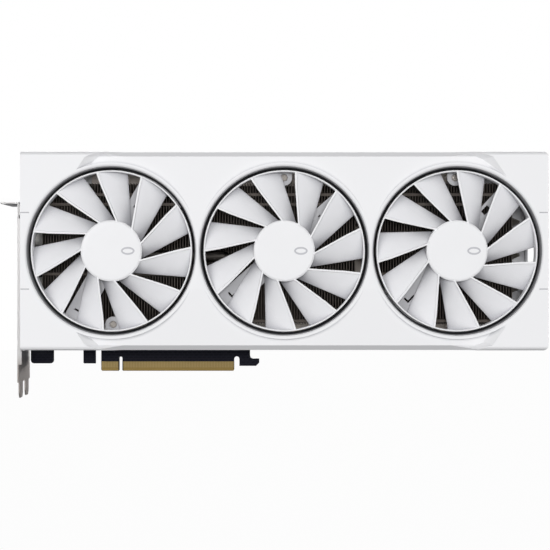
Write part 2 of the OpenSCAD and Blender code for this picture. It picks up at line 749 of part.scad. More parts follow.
module backplate() {
    window = [gpu_x - 34, gpu_x + 34];
    color(WHITE) difference() {
        union() {
            block([x0, plate_end], plate_y, [z0 + 0.4, z1]);
            // edge turned towards the fans at the far end
            block([plate_end - 1.4, plate_end], [-2, plate_y[0]], [z0 + 16, z1 - 16]);
            for (p = board_holes) peg(p, 2.6, [rear_y, plate_y[0]]);
        }
        block(window, [2, 6], [gpu_z - 34, gpu_z + 34]);
        for (p = concat(board_holes, shroud_bosses)) peg(p, screw_r + screw_gap, [0, 6]);
        // slanted vent slots behind the open end of the heatsink
        for (k = [0:9]) {
            z = 34 + k * 8;
            slab([[212, z], [240, z + 10], [240, z + 13.4], [212, z + 3.4]], [2, 6]);
        }
    }
}

module backplate_screws() {
    color(NICKEL) for (p = shroud_bosses) screw(p, plate_y[1], -1, 9);
}

module board_screws() {
    color(NICKEL) for (p = board_holes) screw(p, plate_y[1], -1, 9);
}

// ---------- slot bracket and ports ----------

module bracket() {
    x = [bracket_x, bracket_x + bracket_t];
    color(NICKEL) difference() {
        union() {
            block(x, bracket_y, [-5, tab_top]);
            for (y = tongue_y)
                along_x([[y - tongue_w / 2, -4], [y + tongue_w / 2, -4], [y + tongue_w / 2, tip_z + 3],
                    [y + tongue_w / 2 - 2, tip_z], [y - tongue_w / 2 + 2, tip_z], [y - tongue_w / 2,
                        tip_z + 3]], x);
            // screw tab bent outwards at the top
            block([bracket_x - tab_out + bracket_t, x[1]], bracket_y, [tab_top - bracket_t, tab_top]);
            // stiffening edge along the front, and two feet on the board
            block([x[0], x[0] + 2.8], [bracket_y[0], bracket_y[0] + bracket_t], [6, tab_top - 10]);
            for (z = foot_z) block([x[0], foot_x + 5], [-2, face_y], [z - 3, z + 3]);
        }
        // open notches for the case screws
        for (y = tongue_y) {
            translate([bracket_x - 5.4, y, tab_top - 2]) cylinder(d = notch_w, h = 3);
            block([bracket_x - 14, bracket_x - 5.4], [y - notch_w / 2, y + notch_w / 2], [tab_top - 2,
                tab_top + 1]);
        }
        // windows for the ports
        for (z = concat([hdmi_z], dp_z))
            block([x[0] - 1, x[1] + 1], [port_y[0] + 0.6, port_y[1] - 0.4], [z[0] + 0.6, z[1] - 0.6]);
        // vents beside them
        for (k = [0:9]) for (y = [[-32, -23], [-20.5, -11.5]])
            block([x[0] - 1, x[1] + 1], y, [14 + k * 8.8, 19 + k * 8.8]);
        for (z = foot_z) peg([foot_x, z], 1.5, [-3, 0]);
    }
}

module bracket_screws() {
    color(NICKEL) for (z = foot_z) screw([foot_x, z], -2, 1, 2.4);
}

// a metal shell with a socket that opens through the bracket
module port_shell(z, depth) {
    difference() {
        block([bracket_x + bracket_t, bracket_x + bracket_t + depth], port_y, z);
        block([bracket_x, bracket_x + bracket_t + depth - 2], [port_y[0] + 0.8, port_y[1] - 0.8],
            [z[0] + 0.8, z[1] - 0.8]);
    }
}

module hdmi_port() {
    color(NICKEL) port_shell(hdmi_z, 12);
}

module displayports() {
    color(NICKEL) for (z = dp_z) port_shell(z, 14);
}

module port_tongues() {
    y = (port_y[0] + port_y[1]) / 2;
    color(CHIP) {
        block([bracket_x + 3, bracket_x + bracket_t + 10], [y - 0.6, y + 0.6], [hdmi_z[0] + 2.5,
            hdmi_z[1] - 2.5]);
        for (z = dp_z) block([bracket_x + 3, bracket_x + bracket_t + 12], [y - 0.6, y + 0.6], [z[0] + 2.5,
            z[1] - 2.5]);
    }
}

shroud();
shroud_sides();
fan_collars();
trim_rings();
fan_screws();
backplate();
backplate_screws();
bracket();
bracket_screws();
pcb();
edge_contacts();
gpu_package();
gpu_die();
thermal_paste();
memory_chips();
memory_pads();
chokes();
power_stages();
power_stage_pads();
capacitors();
power_connectors();
power_pins();
hdmi_port();
displayports();
port_tongues();
cold_plate();
heat_pipes();
front_heat_pipe();
fin_stack(0);  // fin_stack_left
fin_stack(1);  // fin_stack_middle
fin_stack(2);  // fin_stack_right
mid_frame();
board_screws();
spring_plate();
spring_screws();
fan_header();
fan_cables();
fan_frame(0);  // fan_frame_left
fan_frame(1);  // fan_frame_middle
fan_frame(2);  // fan_frame_right
stator(0);  // stator_left
stator(1);  // stator_middle
stator(2);  // stator_right
bearing(0);  // bearing_left
bearing(1);  // bearing_middle
bearing(2);  // bearing_right
rotor(0);  // rotor_left
rotor(1);  // rotor_middle
rotor(2);  // rotor_right
magnet(0);  // magnet_left
magnet(1);  // magnet_middle
magnet(2);  // magnet_right
shaft(0);  // shaft_left
shaft(1);  // shaft_middle
shaft(2);  // shaft_right
hub_cap(0);  // hub_cap_left
hub_cap(1);  // hub_cap_middle
hub_cap(2);  // hub_cap_right
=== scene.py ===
"""The looks of the graphics card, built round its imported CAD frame.

Units are metres in the part's own frame: +X away from the slot bracket, +Y from the fans to the
backplate, +Z away from the motherboard. Sizes below are written in millimetres times MM.
"""
import itertools
import json
import math

import bmesh
import bpy
from mathutils import Matrix, Vector


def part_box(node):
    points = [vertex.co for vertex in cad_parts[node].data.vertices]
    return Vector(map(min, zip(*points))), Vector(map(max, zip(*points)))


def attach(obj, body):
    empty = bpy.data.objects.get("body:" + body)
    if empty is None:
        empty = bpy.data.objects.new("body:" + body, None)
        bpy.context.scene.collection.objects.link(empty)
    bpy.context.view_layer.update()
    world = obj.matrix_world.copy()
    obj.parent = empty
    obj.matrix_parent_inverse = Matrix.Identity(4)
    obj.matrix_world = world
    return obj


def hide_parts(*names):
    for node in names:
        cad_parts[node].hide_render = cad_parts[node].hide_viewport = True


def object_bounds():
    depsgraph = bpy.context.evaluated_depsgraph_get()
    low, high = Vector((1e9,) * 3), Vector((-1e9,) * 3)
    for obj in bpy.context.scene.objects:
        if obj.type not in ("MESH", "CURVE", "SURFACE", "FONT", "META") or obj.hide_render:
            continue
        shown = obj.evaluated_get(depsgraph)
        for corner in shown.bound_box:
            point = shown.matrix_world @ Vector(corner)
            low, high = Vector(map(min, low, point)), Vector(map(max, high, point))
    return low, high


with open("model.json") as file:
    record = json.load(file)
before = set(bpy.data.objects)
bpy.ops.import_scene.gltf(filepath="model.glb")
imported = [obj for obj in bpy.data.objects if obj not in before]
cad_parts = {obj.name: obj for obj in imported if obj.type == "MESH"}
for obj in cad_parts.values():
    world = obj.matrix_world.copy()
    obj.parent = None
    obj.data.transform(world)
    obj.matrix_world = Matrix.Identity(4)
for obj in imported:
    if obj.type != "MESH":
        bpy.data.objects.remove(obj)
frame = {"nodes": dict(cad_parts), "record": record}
cad_low, cad_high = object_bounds()

MM = 0.001
NODES = frame["nodes"]
SIDES = ("left", "middle", "right")


def fan_axis(side):
    """The X and Z of a fan's axis."""
    low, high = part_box("shaft_" + side)
    return (low.x + high.x) / 2, (low.z + high.z) / 2


# ---------- camera, light and stage ----------

SHROUD_LOW, SHROUD_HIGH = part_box("shroud")
FACE_MID = (SHROUD_LOW + SHROUD_HIGH) / 2
# the photo's middle lies left of the shroud's middle and below it
AIM_LEFT = 5.6 * MM
AIM_DOWN = 14.55 * MM
CAMERA_AIM = Vector((FACE_MID.x - AIM_LEFT, 0, FACE_MID.z - AIM_DOWN))
CAMERA_DISTANCE = 900 * MM
FOCAL_LENGTH = 91.9
FLOOR_RADIUS = 12
FLOOR_DROP = 0.6
WRAP_LIGHT = 0.11


def make_camera():
    """A long lens straight in front of the fans."""
    data = bpy.data.cameras.new("camera")
    data.lens = FOCAL_LENGTH
    data.clip_start = 0.01
    data.clip_end = 50
    camera = bpy.data.objects.new("camera", data)
    camera.location = CAMERA_AIM + Vector((0, -CAMERA_DISTANCE, 0))
    camera.rotation_euler = (math.radians(90), 0, 0)
    bpy.context.scene.collection.objects.link(camera)
    bpy.context.scene.camera = camera


def softbox(name, place, size, power, glossy=True):
    """A rectangular area light that faces the middle of the card.

    size is its width and height. With glossy off it lights surfaces but isn't mirrored in them.
    """
    data = bpy.data.lights.new(name, "AREA")
    data.shape = "RECTANGLE"
    data.size, data.size_y = size
    data.energy = power
    light = bpy.data.objects.new(name, data)
    light.location = Vector(place)
    light.rotation_euler = (FACE_MID - light.location).to_track_quat("-Z", "Y").to_euler()
    light.visible_camera = False
    light.visible_glossy = glossy
    bpy.context.scene.collection.objects.link(light)


def make_world():
    """A white studio: the lens sees white, and the card is lit by a dimmer, cooler wrap."""
    world = bpy.data.worlds.new("studio")
    bpy.context.scene.world = world
    world.use_nodes = True
    tree = world.node_tree
    tree.nodes.clear()
    out = tree.nodes.new("ShaderNodeOutputWorld")
    mix = tree.nodes.new("ShaderNodeMixShader")
    path = tree.nodes.new("ShaderNodeLightPath")
    seen = tree.nodes.new("ShaderNodeBackground")
    wrap = tree.nodes.new("ShaderNodeBackground")
    seen.inputs[0].default_value = (1, 1, 1, 1)
    wrap.inputs[0].default_value = (0.94, 0.96, 1.0, 1)
    wrap.inputs[1].default_value = WRAP_LIGHT
    tree.links.new(path.outputs["Is Camera Ray"], mix.inputs[0])
    tree.links.new(wrap.outputs[0], mix.inputs[1])
    tree.links.new(seen.outputs[0], mix.inputs[2])
    tree.links.new(mix.outputs[0], out.inputs[0])


def make_stage():
    """A pale floor well below the card, which shows but throws no light up at it."""
    mesh = bpy.data.meshes.new("floor")
    bm = bmesh.new()
    bmesh.ops.create_circle(bm, cap_ends=True, radius=FLOOR_RADIUS, segments=96)
    bm.to_mesh(mesh)
    bm.free()
    floor = bpy.data.objects.new("floor", mesh)
    floor.location = (FACE_MID.x, 0, cad_low.z - FLOOR_DROP)
    floor.visible_diffuse = False
    floor.visible_glossy = False
    floor.visible_shadow = False
    bpy.context.scene.collection.objects.link(floor)
    material = bpy.data.materials.new("floor_paper")
    material.use_nodes = True
    tree = material.node_tree
    tree.nodes.clear()
    out = tree.nodes.new("ShaderNodeOutputMaterial")
    glow = tree.nodes.new("ShaderNodeEmission")
    noise = tree.nodes.new("ShaderNodeTexNoise")
    ramp = tree.nodes.new("ShaderNodeValToRGB")
    noise.inputs["Scale"].default_value = 3
    ramp.color_ramp.elements[0].color = (0.975, 0.975, 0.975, 1)
    ramp.color_ramp.elements[1].color = (0.985, 0.985, 0.985, 1)
    tree.links.new(noise.outputs[0], ramp.inputs[0])
    tree.links.new(ramp.outputs[0], glow.inputs[0])
    tree.links.new(glow.outputs[0], out.inputs[0])
    mesh.materials.append(material)


make_camera()
make_world()
make_stage()
scene = bpy.context.scene
scene.view_settings.view_transform = "Standard"
scene.view_settings.look = "None"
softbox("key_left", (-1.3, -2.6, 0.6), (1.0, 0.8), 17)
softbox("key_front", (0.3, -3.1, 0.3), (1.3, 0.7), 70, glossy=False)
softbox("key_back", (0.3, 2.0, 0.6), (1.6, 1.0), 30)
softbox("fill_top", (0.1, 1.2, 1.3), (1.2, 0.8), 8)
softbox("fill_left", (-1.4, -0.3, 0.3), (0.9, 0.9), 2)
softbox("fill_right", (1.6, -0.2, 0.4), (0.9, 0.9), 2)

# ---------- materials ----------

# the darker share of a plastic's and a metal's own colour
MOTTLE = 0.98
TARNISH = 0.82
CONTACT_BED = (0.55, 0.38, 0.13)
CONTACT_GOLD = (0.68, 0.51, 0.23)
# the sleeve's fade: pale at the front as painted light, black at the back as the plastic's own colour and
# painted shade
SLEEVE_PAINTED_LIGHT = (0.25, 0.25, 0.26)
SLEEVE_BLACK_PAINTED_SHADE = (0.016, 0.016, 0.018)
TONGUE_NICKEL = (0.6, 0.545, 0.51)
PLATE_NICKEL = (0.97, 0.955, 0.945)


def surface(name, color, rough, metal=0.0, coat=0.0, specular=0.5):
    """A Principled material whose nodes are returned for more work."""
    material = bpy.data.materials.new(name)
    material.use_nodes = True
    tree = material.node_tree
    shader = tree.nodes["Principled BSDF"]
    shader.inputs["Base Color"].default_value = (*color, 1)
    shader.inputs["Roughness"].default_value = rough
    shader.inputs["Metallic"].default_value = metal
    shader.inputs["Coat Weight"].default_value = coat
    shader.inputs["Specular IOR Level"].default_value = specular
    return material, tree, shader


def noise(tree, scale, detail=2.0, stretch=(1, 1, 1)):
    """Noise in the object's own metres; scale is in cycles per metre."""
    place = tree.nodes.new("ShaderNodeTexCoord")
    mapping = tree.nodes.new("ShaderNodeMapping")
    mapping.inputs["Scale"].default_value = stretch
    texture = tree.nodes.new("ShaderNodeTexNoise")
    texture.inputs["Scale"].default_value = scale
    texture.inputs["Detail"].default_value = detail
    tree.links.new(place.outputs["Object"], mapping.inputs[0])
    tree.links.new(mapping.outputs[0], texture.inputs[0])
    return texture.outputs[0]


def spread(tree, value, low, high):
    """Maps 0..1 to low..high."""
    node = tree.nodes.new("ShaderNodeMapRange")
    node.inputs["To Min"].default_value = low
    node.inputs["To Max"].default_value = high
    tree.links.new(value, node.inputs[0])
    return node.outputs[0]


def blend_colors(tree, value, dark, light):
    """A colour between dark and light, chosen by value."""
    ramp = tree.nodes.new("ShaderNodeValToRGB")
    ramp.color_ramp.elements[0].position = 0.3
    ramp.color_ramp.elements[0].color = (*dark, 1)
    ramp.color_ramp.elements[1].position = 0.7
    ramp.color_ramp.elements[1].color = (*light, 1)
    tree.links.new(value, ramp.inputs[0])
    return ramp.outputs[0]


def bump(tree, shader, height, strength, depth):
    """Relief on a shader's surface; depth is in metres."""
    node = tree.nodes.new("ShaderNodeBump")
    node.inputs["Strength"].default_value = strength
    node.inputs["Distance"].default_value = depth
    tree.links.new(height, node.inputs["Height"])
    tree.links.new(node.outputs[0], shader.inputs["Normal"])


def plastic_grain(tree, shader, grain, rough, depth=0.02 * MM):
    """Spark-eroded grain, which also varies the roughness a little to either side of rough."""
    fine = noise(tree, grain, 3)
    tree.links.new(spread(tree, fine, rough - 0.06, rough + 0.06), shader.inputs["Roughness"])
    bump(tree, shader, fine, 0.25, depth)


def moulded(name, color, rough, grain=2600, depth=0.02 * MM):
    """Injection-moulded plastic: grain and slight mottling."""
    material, tree, shader = surface(name, color, rough)
    dark = tuple(c * MOTTLE for c in color)
    tree.links.new(blend_colors(tree, noise(tree, 45, 2), dark, color), shader.inputs["Base Color"])
    plastic_grain(tree, shader, grain, rough, depth)
    return material


def rolled_lines(tree, shader, along, smooth, rough, depth=0.01 * MM):
    """Rolling lines of sheet metal, drawn out across along."""
    lines = noise(tree, 260, 4, along)
    tree.links.new(spread(tree, lines, smooth, rough), shader.inputs["Roughness"])
    bump(tree, shader, lines, 0.3, depth)


def brushed(name, color, rough, along=(1, 1, 40), metal=1.0):
    """Sheet metal with rolling lines and a little tarnish."""
    material, tree, shader = surface(name, color, rough, metal=metal)
    dark = tuple(c * TARNISH for c in color)
    tree.links.new(blend_colors(tree, noise(tree, 60, 3), dark, color), shader.inputs["Base Color"])
    rolled_lines(tree, shader, along, rough - 0.08, rough + 0.1)
    return material


def board_material():
    """Black solder mask over copper traces, which show as faint raised tracks."""
    material, tree, shader = surface("solder_mask", (0.006, 0.006, 0.009), 0.4, specular=0.2)
    place = tree.nodes.new("ShaderNodeTexCoord")
    mapping = tree.nodes.new("ShaderNodeMapping")
    mapping.inputs["Rotation"].default_value = (math.radians(90), 0, 0)
    brick = tree.nodes.new("ShaderNodeTexBrick")
    brick.inputs["Scale"].default_value = 160
    brick.inputs["Mortar Size"].default_value = 0.07
    brick.inputs["Color1"].default_value = (0.005, 0.005, 0.008, 1)
    brick.inputs["Color2"].default_value = (0.007, 0.007, 0.011, 1)
    brick.inputs["Mortar"].default_value = (0.012, 0.0125, 0.019, 1)
    brick.offset = 0.37
    tree.links.new(place.outputs["Object"], mapping.inputs[0])
    tree.links.new(mapping.outputs[0], brick.inputs[0])
    tree.links.new(brick.outputs["Color"], shader.inputs["Base Color"])
    tree.links.new(spread(tree, noise(tree, 500, 3), 0.26, 0.4), shader.inputs["Roughness"])
    bump(tree, shader, brick.outputs["Fac"], 0.5, 0.03 * MM)
    return material


def ramp_along(tree, axis, start, stop, first, last):
    """A colour that goes from first to last between two coordinates of an axis."""
    place = tree.nodes.new("ShaderNodeTexCoord")
    split = tree.nodes.new("ShaderNodeSeparateXYZ")
    span = tree.nodes.new("ShaderNodeMapRange")
    span.inputs["From Min"].default_value = start
    span.inputs["From Max"].default_value = stop
    ramp = tree.nodes.new("ShaderNodeValToRGB")
    ramp.color_ramp.elements[0].color = (*first, 1)
    ramp.color_ramp.elements[1].color = (*last, 1)
    tree.links.new(place.outputs["Object"], split.inputs[0])
    tree.links.new(split.outputs[axis], span.inputs[0])
    tree.links.new(span.outputs[0], ramp.inputs[0])
    return ramp.outputs[0]


def sleeve_material():
    """Dark plastic whose colour fades from pale at the front of the sleeve to dark at its back: painted
    light on the front of the wall and painted shade deeper in the gap.
    """
    material, tree, shader = surface("trim_black", (0.03, 0.03, 0.033), 0.34, coat=0.2)
    fade = ramp_along(tree, "Y", -44 * MM, -40.5 * MM, SLEEVE_PAINTED_LIGHT, SLEEVE_BLACK_PAINTED_SHADE)
    tree.links.new(fade, shader.inputs["Base Color"])
    plastic_grain(tree, shader, 1500, 0.34)
    return material


def bracket_material():
    """Nickel-plated steel, which is darker on the tongues than on the plate above them."""
    material, tree, shader = surface("bracket_nickel", (0.6, 0.58, 0.565), 0.4, metal=0.8)
    fade = ramp_along(tree, "Z", 4 * MM, 12 * MM, TONGUE_NICKEL, PLATE_NICKEL)
    tree.links.new(fade, shader.inputs["Base Color"])
    rolled_lines(tree, shader, (1, 40, 1), 0.32, 0.5, depth=0.004 * MM)
    return material


def contact_material():
    """Gold fingers, which fade into their bed towards the seating edge."""
    material, tree, shader = surface("contact_gold", CONTACT_GOLD, 0.42, metal=0.8)
    fade = ramp_along(tree, "Z", 1.8 * MM, 2.6 * MM, CONTACT_BED, CONTACT_GOLD)
    tree.links.new(fade, shader.inputs["Base Color"])
    rolled_lines(tree, shader, (1, 1, 12), 0.36, 0.5)
    return material


def painted_shade_plastic(name, color, dark, reach, rough, grain, flank=1.0):
    """White plastic with painted shade: an ambient occlusion node greys its colour towards dark in corners,
    as far as reach from what shades it.

    flank is the share of its colour that a face turned away from the front keeps, a painted shade on those
    faces.
    """
    material, tree, shader = surface(name, color, rough)
    shade = tree.nodes.new("ShaderNodeAmbientOcclusion")
    shade.inputs["Distance"].default_value = reach
    shade.samples = 8
    tone = blend_colors(tree, spread(tree, shade.outputs["AO"], 0.0, 0.8), dark, color)
    place = tree.nodes.new("ShaderNodeTexCoord")
    split = tree.nodes.new("ShaderNodeSeparateXYZ")
    facing = tree.nodes.new("ShaderNodeMapRange")
    facing.inputs["From Min"].default_value = -0.98
    facing.inputs["From Max"].default_value = -0.9
    facing.inputs["To Min"].default_value = 1
    facing.inputs["To Max"].default_value = flank
    dim = tree.nodes.new("ShaderNodeVectorMath")
    dim.operation = "SCALE"
    tree.links.new(place.outputs["Normal"], split.inputs[0])
    tree.links.new(split.outputs["Y"], facing.inputs[0])
    tree.links.new(tone, dim.inputs[0])
    tree.links.new(facing.outputs[0], dim.inputs["Scale"])
    tree.links.new(dim.outputs[0], shader.inputs["Base Color"])
    plastic_grain(tree, shader, grain, rough)
    return material


MATERIAL = {
    # painted shade: the shroud's white greys in corners and is dimmed on faces turned away from the front
    "shroud_plastic": painted_shade_plastic(
        "shroud_white_painted_shade", (0.87, 0.87, 0.882), (0.5, 0.5, 0.525), 3 * MM, 0.46, 2600, flank=0.9
    ),
    # painted shade: the blades' white greys in corners and near the hub and ring, and is darker than the
    # hub's
    "fan_plastic": painted_shade_plastic("fan_white_painted_shade", (0.83, 0.83, 0.85), (0.4, 0.4, 0.425), 14 * MM, 0.42, 3200),
    "hub_plastic": moulded("hub_white", (0.88, 0.88, 0.892), 0.36, grain=3600),
    # the fan frames' white plastic is coloured mid grey as painted shade
    "frame_plastic": moulded("frame_white_painted_shade", (0.43, 0.43, 0.445), 0.5),
    "trim_plastic": sleeve_material(),
    "mark_grey": moulded("mark_grey", (0.55, 0.55, 0.58), 0.45),
    "backplate_paint": moulded("backplate_white", (0.8, 0.8, 0.82), 0.42, grain=1400, depth=0.03 * MM),
    "nickel": bracket_material(),
    # a paler, less metallic copy of the nickel: painted light standing in for the reflections on the mid
    # frame
    "inner_nickel_painted_light": brushed("inner_nickel_painted_light", (0.78, 0.71, 0.65), 0.5, metal=0.2),
    "screw_steel": brushed("screw_nickel", (0.66, 0.61, 0.56), 0.34, along=(1, 1, 1), metal=0.55),
    "spring_steel": brushed("spring_steel", (0.4, 0.4, 0.4), 0.34, along=(30, 1, 1)),
    "board": board_material(),
    "contact_gold": contact_material(),
    "contact_bed": brushed("contact_bed", CONTACT_BED, 0.5, along=(1, 1, 12), metal=0.6),
    "chip_resin": moulded("chip_resin", (0.03, 0.03, 0.032), 0.6),
    "package_resin": moulded("package_resin", (0.02, 0.06, 0.04), 0.5),
    "silicon": brushed("silicon", (0.3, 0.31, 0.34), 0.12, along=(1, 1, 1)),
    "paste": moulded("thermal_paste", (0.5, 0.5, 0.51), 0.55),
    "thermal_pad": moulded("thermal_pad", (0.4, 0.42, 0.52), 0.75),
    "choke_ferrite": moulded("choke_ferrite", (0.09, 0.09, 0.095), 0.62, grain=900),
    "capacitor_can": brushed("capacitor_can", (0.72, 0.72, 0.74), 0.28, along=(1, 1, 1)),
    "connector_plastic": moulded("connector_black", (0.025, 0.025, 0.028), 0.5, grain=2000),
    "port_shell": brushed("port_shell", (0.56, 0.55, 0.53), 0.3, along=(30, 1, 1)),
    "cold_plate_copper": brushed("cold_plate", (0.6, 0.56, 0.5), 0.3, along=(20, 1, 1)),
    "pipe_nickel": brushed("heat_pipe", (0.42, 0.38, 0.34), 0.34, along=(2, 10, 10)),
    "fin_aluminium": brushed("fin_dark", (0.15, 0.13, 0.115), 0.5, along=(1, 1, 6), metal=0.4),
    "copper_coil": brushed("copper_coil", (0.7, 0.36, 0.2), 0.34, along=(1, 40, 1)),
    "bearing_metal": brushed("sintered_bronze", (0.5, 0.38, 0.24), 0.45, along=(1, 1, 1)),
    "magnet_ferrite": moulded("magnet_ferrite", (0.05, 0.05, 0.053), 0.6),
    "shaft_steel": brushed("ground_steel", (0.6, 0.6, 0.61), 0.2, along=(1, 30, 1)),
    "cable_sleeve": moulded("cable_sleeve", (0.018, 0.018, 0.02), 0.6, grain=1800),
}

# ---------- mesh helpers ----------

# corners run through low and high of X, Y and Z, with Z changing fastest
BOX_FACES = ((0, 1, 3, 2), (4, 6, 7, 5), (0, 4, 5, 1), (2, 3, 7, 6), (0, 2, 6, 4), (1, 5, 7, 3))


def add_box(bm, low, high):
    """A closed box between two corners."""
    corners = [bm.verts.new(corner) for corner in itertools.product(*zip(low, high))]
    for face in BOX_FACES:
        bm.faces.new([corners[i] for i in face])


def add_turned(bm, profile, x, z, segments=128):
    """A closed profile of (radius, y), turned about the Y axis through x, z."""
    rings = []
    for radius, y in profile:
        if radius < 1e-7:
            rings.append([bm.verts.new((x, y, z))] * segments)
            continue
        ring = []
        for k in range(segments):
            angle = 2 * math.pi * k / segments
            ring.append(bm.verts.new((x + radius * math.cos(angle), y, z + radius * math.sin(angle))))
        rings.append(ring)
    for j, ring in enumerate(rings):
        after = rings[(j + 1) % len(rings)]
        for k in range(segments):
            corners = [ring[k], after[k], after[(k + 1) % segments], ring[(k + 1) % segments]]
            distinct = list(dict.fromkeys(corners))
            if len(distinct) > 2:
                bm.faces.new(distinct)


def arc(center, radius, start, stop, steps):
    """Points of an arc in the plane of radius and Y; angles in degrees."""
    points = []
    for k in range(steps + 1):
        angle = math.radians(start + (stop - start) * k / steps)
        points.append((center[0] + radius * math.cos(angle), center[1] + radius * math.sin(angle)))
    return points


def make_piece(name, bm, slot, body, replaced=(), sharp=35.0, material=None):
    """Turns a bmesh into a piece that rides on a body, in place of the CAD nodes in replaced.

    The piece keeps its slot's material unless it is given another.
    """
    bmesh.ops.recalc_face_normals(bm, faces=bm.faces)
    mesh = bpy.data.meshes.new(name)
    bm.to_mesh(mesh)
    bm.free()
    mesh.materials.append(material or MATERIAL[slot])
    mesh.shade_smooth()
    mesh.set_sharp_from_angle(angle=math.radians(sharp))
    piece = bpy.data.objects.new(name, mesh)
    bpy.context.scene.collection.objects.link(piece)
    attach(piece, body)
    if replaced:
        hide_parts(*replaced)
    return piece


# ---------- fans ----------

BLADES = 11
BLADE_STATIONS = 26
HUB_R = 18.7 * MM
HUB_RIM_R = 1.1 * MM
CAP_SEAT_R = 17.9 * MM
CAP_SEAT_MOUTH_R = 17.92 * MM
CAP_SEAT_DEPTH = 0.75 * MM
CUP_R = 17.4 * MM
CUP_DEPTH = 1.9 * MM
RING_WALL = 1.0 * MM
RING_FRONT = -47.2 * MM
RING_BACK = -39.0 * MM
RING_CHAMFER = 0.2 * MM
# a blade's edges are straight, at a slant in degrees to the spoke they start on
KINK_R = 39.7 * MM
ROOT_START = 18.4 * MM
ROOT_SINK = 0.8 * MM
LEAD_SLANT = 31.7
TIP_SLANT = 11.1
TRAIL_START = -29.1
TRAIL_SLANT = 41.3
LEAD_Y = -47.3 * MM
TRAIL_Y = -39.5 * MM
BLADE_T = 1.0 * MM
LIP_W = 1.15 * MM
# polar angle in degrees of one blade's leading edge at the ring
TIP_PHASE = {"left": 101.2, "middle": 115.13, "right": 90.5}
# material slots of a rotor's mesh: the blades' plastic with painted shade, and a paler copy with a painted
# highlight for the hub, ring and lips
SHADED_BLADE_SLOT = 0
HIGHLIGHT_SLOT = 1


def straight_edge(radius, start, slant):
    """Polar angle along a straight edge that leaves radius start at a slant from the spoke."""
    return slant - math.degrees(math.asin(start * math.sin(math.radians(slant)) / radius))


def lead_angle(radius):
    """Polar angle of the leading edge, which kinks at KINK_R."""
    if radius <= KINK_R:
        return straight_edge(radius, ROOT_START, LEAD_SLANT)
    return straight_edge(KINK_R, ROOT_START, LEAD_SLANT) + straight_edge(radius, KINK_R, TIP_SLANT)


def trail_angle(radius):
    """Polar angle of the trailing edge."""
    return TRAIL_START + straight_edge(radius, ROOT_START, TRAIL_SLANT)


def blade_outline(radius, tip_radius):
    """Closed section of a blade at one radius: (polar angle in degrees, y) pairs."""
    lead = lead_angle(radius)
    wide = lead - trail_angle(radius)
    chord = radius * math.radians(wide)
    y_lead = LEAD_Y + 0.5 * MM * (radius - HUB_R) / (tip_radius - HUB_R)
    rise = TRAIL_Y - y_lead

    def middle(s):
        """y of the blade's middle at a share s of the chord."""
        return y_lead + rise * (0.72 * s + 0.28 * s * s)

    def half(s):
        """Half of the blade's thickness, measured along Y."""
        tilt = math.atan(rise * (0.72 + 0.56 * s) / chord)
        return BLADE_T / 2 * (1 - 0.4 * s) / math.cos(tilt)

    lip = LIP_W / chord
    lip_y = middle(0) - half(0) - 0.1 * MM
    front = [(0.0, lip_y + 0.25 * MM), (0.15 * lip, lip_y + 0.05 * MM)]
    front += [(0.35 * lip, lip_y), (lip, lip_y + 0.02 * MM)]
    lip_foot = lip * 1.3
    front.append((lip_foot, middle(lip_foot) - half(lip_foot)))
    steps = 12
    for k in range(1, steps + 1):
        s = lip_foot + (1 - lip_foot) * k / steps
        front.append((s, middle(s) - half(s)))
    rear = [(1 + 0.25 * MM / chord, middle(1))]
    for k in range(steps, -1, -1):
        s = k / steps
        rear.append((s, middle(s) + half(s)))
    return [(lead - s * wide, y) for s, y in front + rear]


def add_blade(bm, phase, x, z, root_radius, tip_radius):
    """A blade skinned over its sections, with a row of them on the kink."""
    rows = []
    span = tip_radius - root_radius
    radii = [root_radius + span * k / BLADE_STATIONS for k in range(BLADE_STATIONS + 1)]
    for radius in sorted(radii + [KINK_R]):
        row = []
        for angle, y in blade_outline(radius, tip_radius):
            turn = math.radians(phase + angle)
            row.append(bm.verts.new((x + radius * math.cos(turn), y, z + radius * math.sin(turn))))
        rows.append(row)
    count = len(rows[0])
    for inner, outer in zip(rows, rows[1:]):
        for k in range(count):
            face = bm.faces.new((inner[k], inner[(k + 1) % count], outer[(k + 1) % count], outer[k]))
            # a section's first four edges and its last one make up the lip, which takes the paler copy as a
            # painted highlight
            on_lip = k < 4 or k == count - 1
            face.material_index = HIGHLIGHT_SLOT if on_lip else SHADED_BLADE_SLOT
    bm.faces.new(rows[0])
    bm.faces.new(rows[-1])


